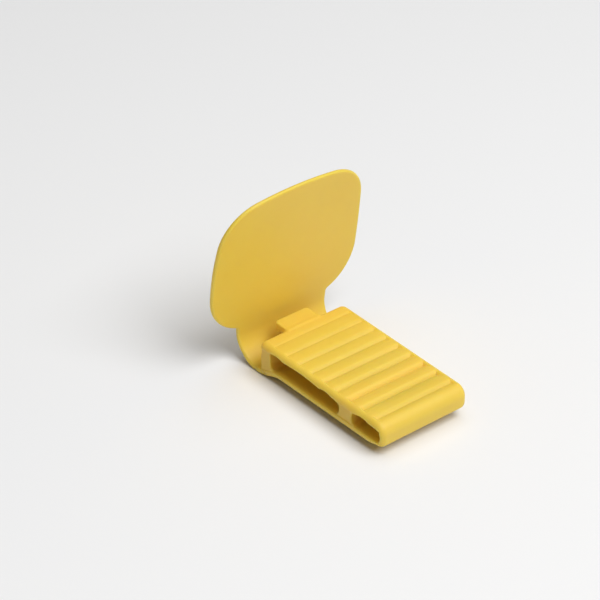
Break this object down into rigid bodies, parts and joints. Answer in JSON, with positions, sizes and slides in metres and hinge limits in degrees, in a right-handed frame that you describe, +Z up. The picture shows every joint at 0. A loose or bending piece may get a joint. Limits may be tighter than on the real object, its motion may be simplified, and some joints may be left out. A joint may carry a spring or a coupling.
{
  "type": "dental film holder",
  "caption": "One-piece plastic dental film holder: ridged bite block, open right through from side to side, with a wide rounded backing plate on a flexible neck.",
  "frame": {"origin": "centre of the bite block's flat underside", "axes": "+X from the heel, where the backing plate stands, towards the block's nose; +Z up, out of the ridged bite surface; Y across the block, with Y = 0 as its mirror plane"},
  "size_m": [0.0482, 0.0406, 0.0426],
  "materials": {
    "moulded_plastic": "satin"
  },
  "bodies": {
    "bite_block": {"neck_foot": "moulded_plastic", "base_plate": "moulded_plastic", "nose": "moulded_plastic", "heel_land": "moulded_plastic", "heel_wall": "moulded_plastic", "mid_web": "moulded_plastic", "roof": "moulded_plastic", "rim_near": "moulded_plastic", "rim_far": "moulded_plastic", "heel_tab": "moulded_plastic", "bite_ridge_1": "moulded_plastic", "bite_ridge_2": "moulded_plastic", "bite_ridge_3": "moulded_plastic", "bite_ridge_4": "moulded_plastic", "bite_ridge_5": "moulded_plastic", "bite_ridge_6": "moulded_plastic", "bite_ridge_7": "moulded_plastic", "bite_ridge_8": "moulded_plastic"},
    "backing_plate": {"neck_arm": "moulded_plastic", "backing_plate": "moulded_plastic"}
  },
  "joints": [
    {"name": "plate_flex", "type": "hinge", "parent": "bite_block", "child": "backing_plate", "pos_m": [-0.02798, 0, 0.0003], "axis": [0, 1, 0], "range_deg": [-35, 23], "stiffness_Nm_per_rad": 0.067}
  ]
}
